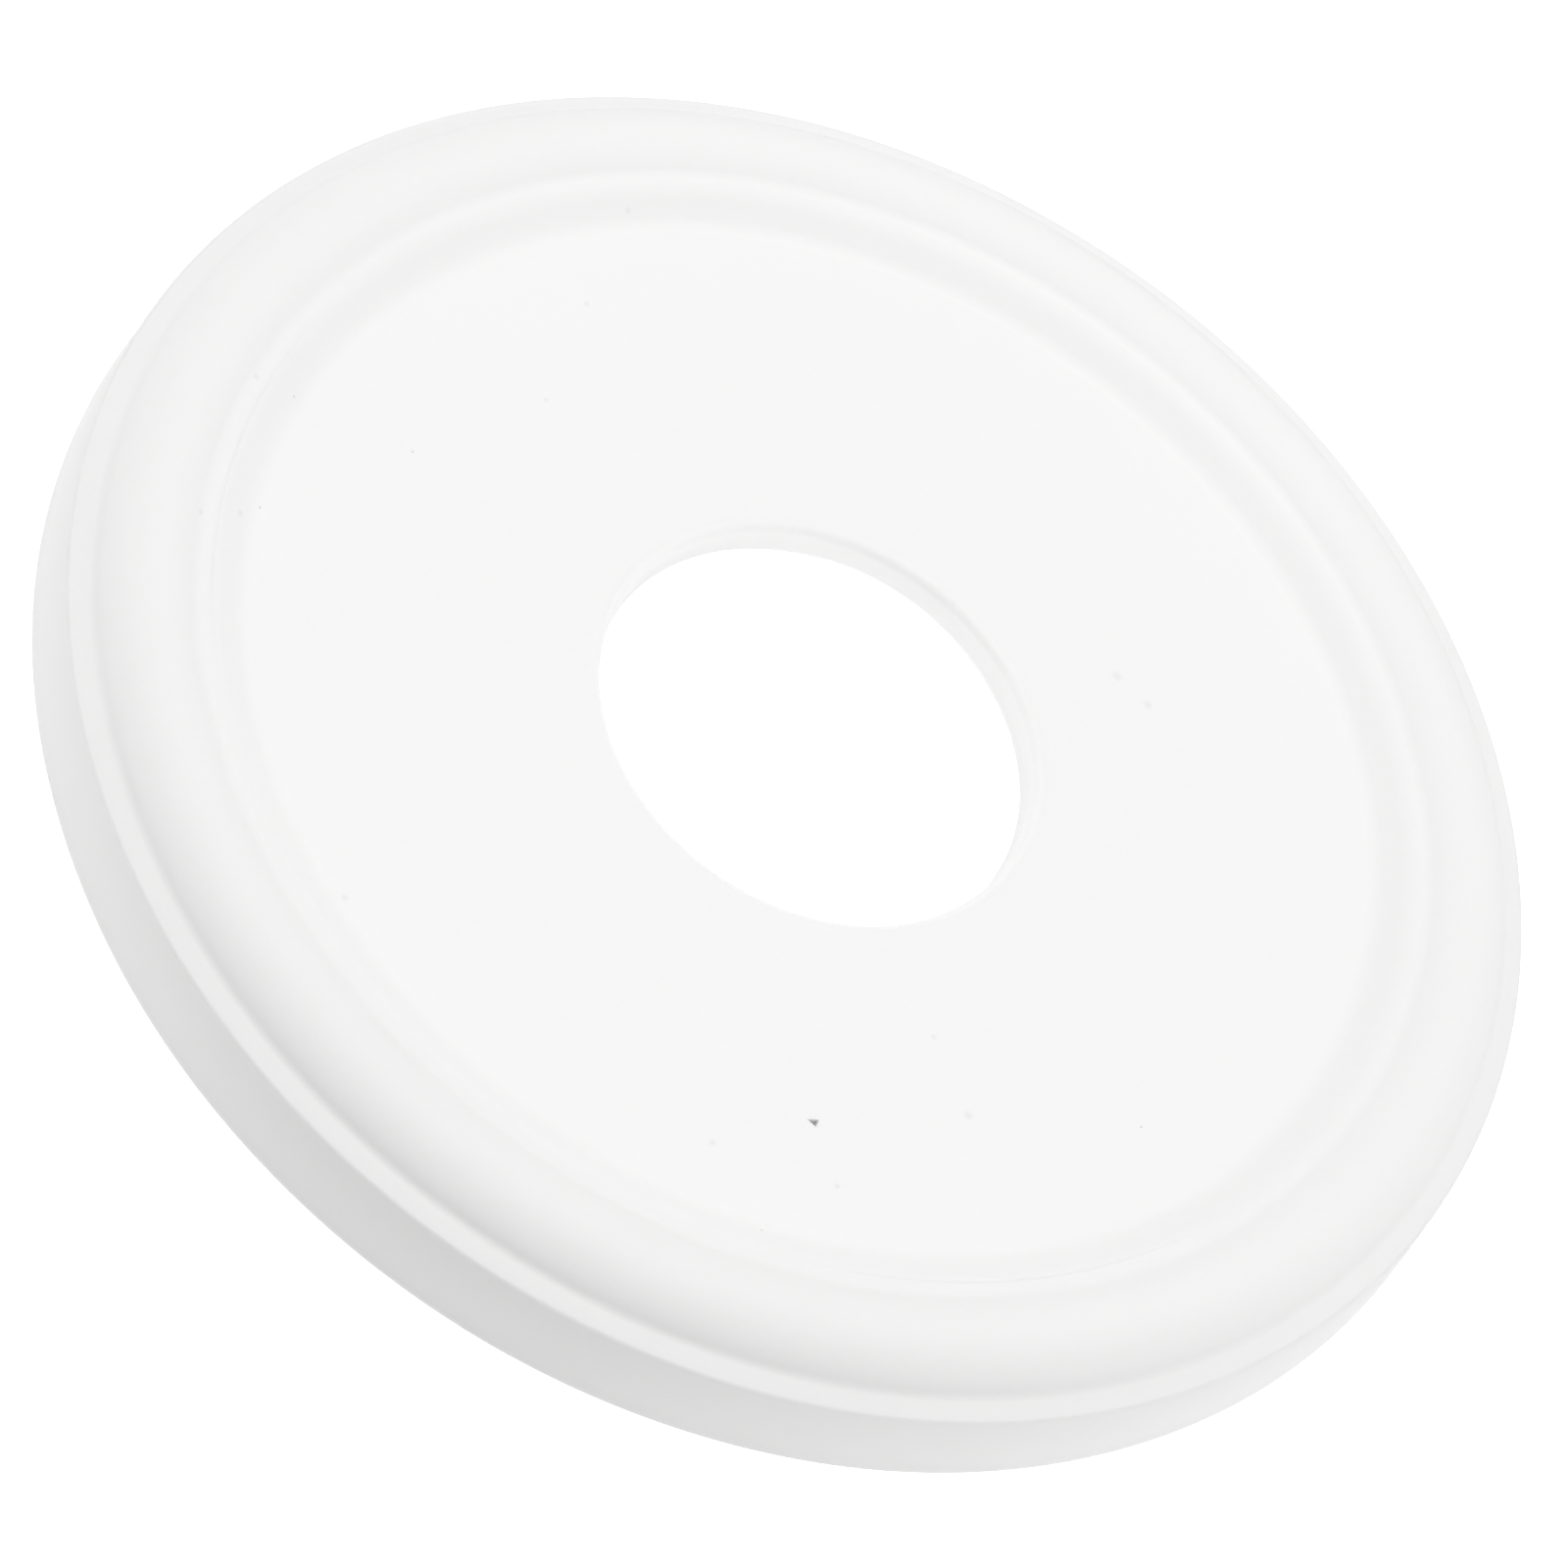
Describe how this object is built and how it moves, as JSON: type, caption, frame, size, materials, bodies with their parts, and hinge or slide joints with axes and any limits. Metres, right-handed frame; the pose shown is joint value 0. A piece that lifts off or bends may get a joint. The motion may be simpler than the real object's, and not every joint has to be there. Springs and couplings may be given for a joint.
{
  "type": "ceiling rose",
  "caption": "Plain round ceiling rose, white primed, with a cushion-and-bead moulded border and a hole for a lamp's cable.",
  "frame": {"origin": "centre of the back rim, in the plane that lies on the ceiling or on a table", "axes": "+Z out of the front face, along the axis of the hole; X and Y are alike, since the disc is turned about Z"},
  "size_m": [0.3048, 0.3048, 0.0254],
  "materials": {
    "white_primer": "matte white primer with faint casting pinholes"
  },
  "bodies": {
    "root": {"ceiling_rose": "white_primer"}
  },
  "joints": []
}
